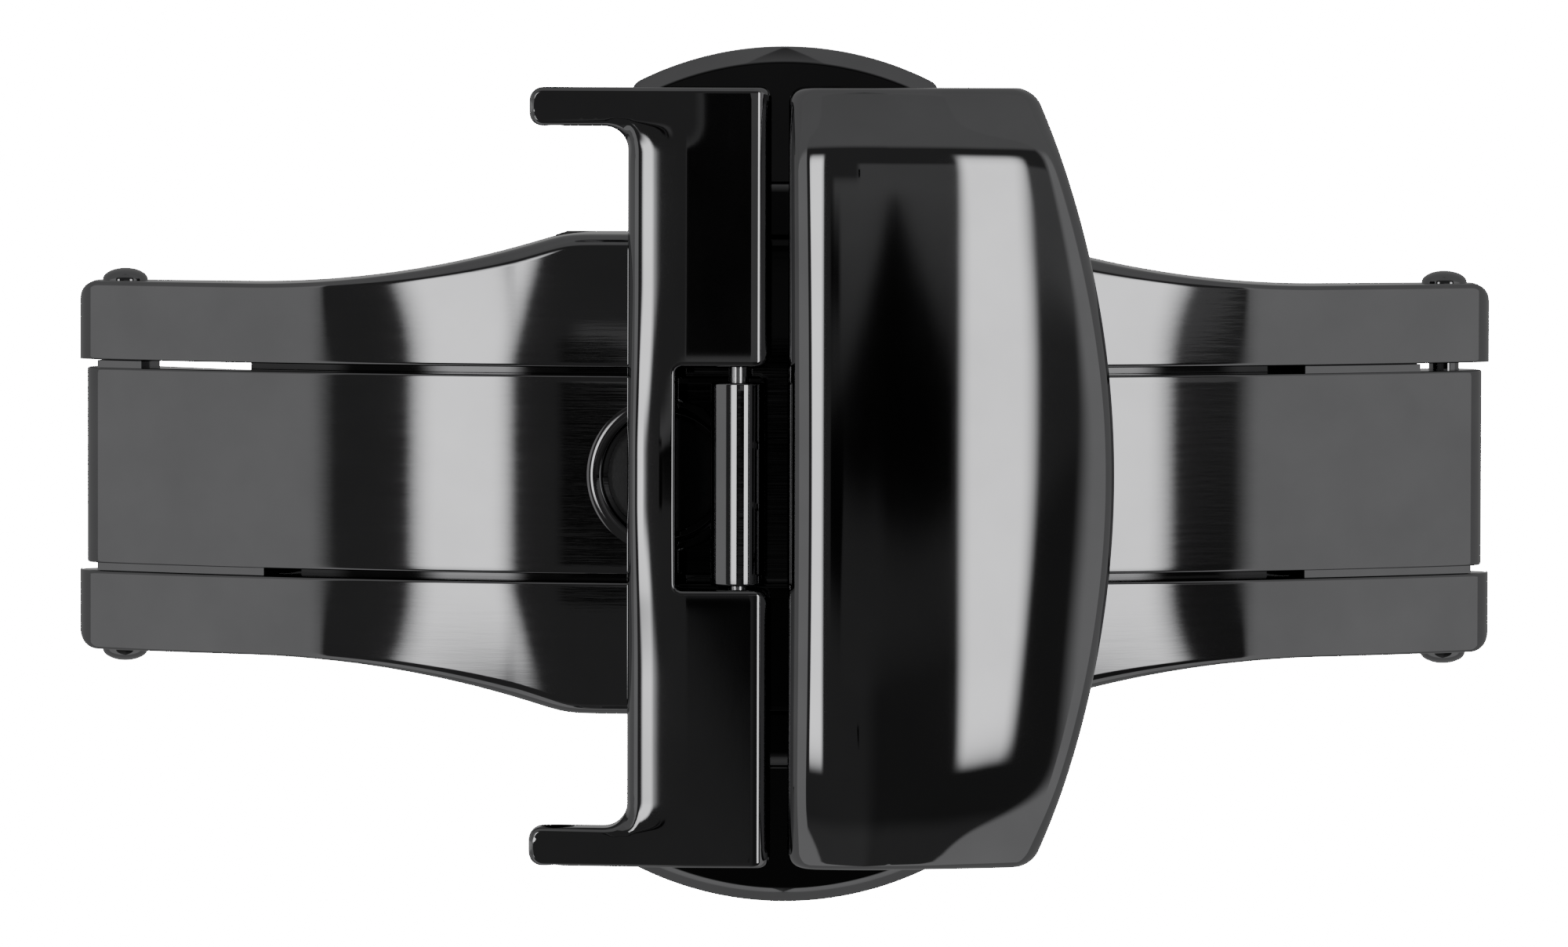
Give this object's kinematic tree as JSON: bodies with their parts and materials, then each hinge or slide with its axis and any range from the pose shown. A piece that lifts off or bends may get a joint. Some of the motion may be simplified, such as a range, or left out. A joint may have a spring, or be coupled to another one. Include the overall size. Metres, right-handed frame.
{
  "type": "butterfly clasp",
  "caption": "Double-folding watch strap clasp: curved frame, hinged arms, side push buttons, eared strap bracket and a crowned cover for the loose strap end",
  "frame": {"origin": "middle of the clasp in plan, level with the lowest points of the rounded rail ends", "axes": "+X along the strap towards the cover, +Y across the strap towards the rear button, +Z away from the wrist"},
  "size_m": [0.0372, 0.0222, 0.0109],
  "materials": {
    "black_polished_steel": "black vapour-coated stainless steel, mirror polished",
    "black_brushed_steel": "black vapour-coated stainless steel, fine lengthwise brushing under a bright polish",
    "black_blasted_steel": "black vapour-coated stainless steel, bead blasted",
    "bare_spring_steel": "bright drawn stainless spring steel"
  },
  "bodies": {
    "frame": {"base_frame": "black_brushed_steel", "back_plate": "black_brushed_steel", "back_plate_screws": "black_polished_steel", "left_hinge_pin": "black_polished_steel", "right_hinge_pin": "black_polished_steel", "rear_spring_left": "bare_spring_steel", "rear_spring_right": "bare_spring_steel", "front_spring_left": "bare_spring_steel", "front_spring_right": "bare_spring_steel"},
    "rear_button": {"rear_button": "black_polished_steel"},
    "front_button": {"front_button": "black_polished_steel"},
    "left_arm": {"left_arm": "black_brushed_steel", "left_catch_stud": "black_blasted_steel"},
    "right_arm": {"right_arm": "black_brushed_steel", "right_catch_stud": "black_blasted_steel", "spring_bar_tube": "bare_spring_steel", "spring_bar_rear_tip": "bare_spring_steel", "spring_bar_front_tip": "bare_spring_steel", "spring_bar_spring": "bare_spring_steel"},
    "strap_bracket": {"strap_bracket": "black_polished_steel", "bracket_pin": "bare_spring_steel"},
    "strap_cover": {"strap_cover": "black_polished_steel"},
    "strap_tongue": {"strap_tongue": "black_polished_steel"}
  },
  "joints": [
    {"name": "left_arm_hinge", "type": "hinge", "parent": "frame", "child": "left_arm", "pos_m": [-0.0174, 0, 0.00114], "axis": [0, -1, 0], "range_deg": [0, 130]},
    {"name": "right_arm_hinge", "type": "hinge", "parent": "frame", "child": "right_arm", "pos_m": [0.0174, 0, 0.00114], "axis": [0, 1, 0], "range_deg": [0, 130]},
    {"name": "strap_bracket_hinge", "type": "hinge", "parent": "left_arm", "child": "strap_bracket", "pos_m": [-0.0012, 0, 0.00844], "axis": [0, 1, 0], "range_deg": [0, 90]},
    {"name": "strap_cover_hinge", "type": "hinge", "parent": "right_arm", "child": "strap_cover", "pos_m": [0.0012, 0, 0.00844], "axis": [0, -1, 0], "range_deg": [0, 30]},
    {"name": "strap_tongue_hinge", "type": "hinge", "parent": "right_arm", "child": "strap_tongue", "pos_m": [0.0012, 0, 0.00844], "axis": [0, -1, 0], "range_deg": [0, 12]},
    {"name": "rear_button_press", "type": "slide", "parent": "frame", "child": "rear_button", "axis": [0, -1, 0], "range_m": [0, 0.00115], "stiffness_N_per_m": 100, "springref_m": -0.003, "deforming": ["rear_spring_left", "rear_spring_right"]},
    {"name": "front_button_press", "type": "slide", "parent": "frame", "child": "front_button", "axis": [0, 1, 0], "range_m": [0, 0.00115], "stiffness_N_per_m": 100, "springref_m": -0.003, "deforming": ["front_spring_left", "front_spring_right"]}
  ]
}
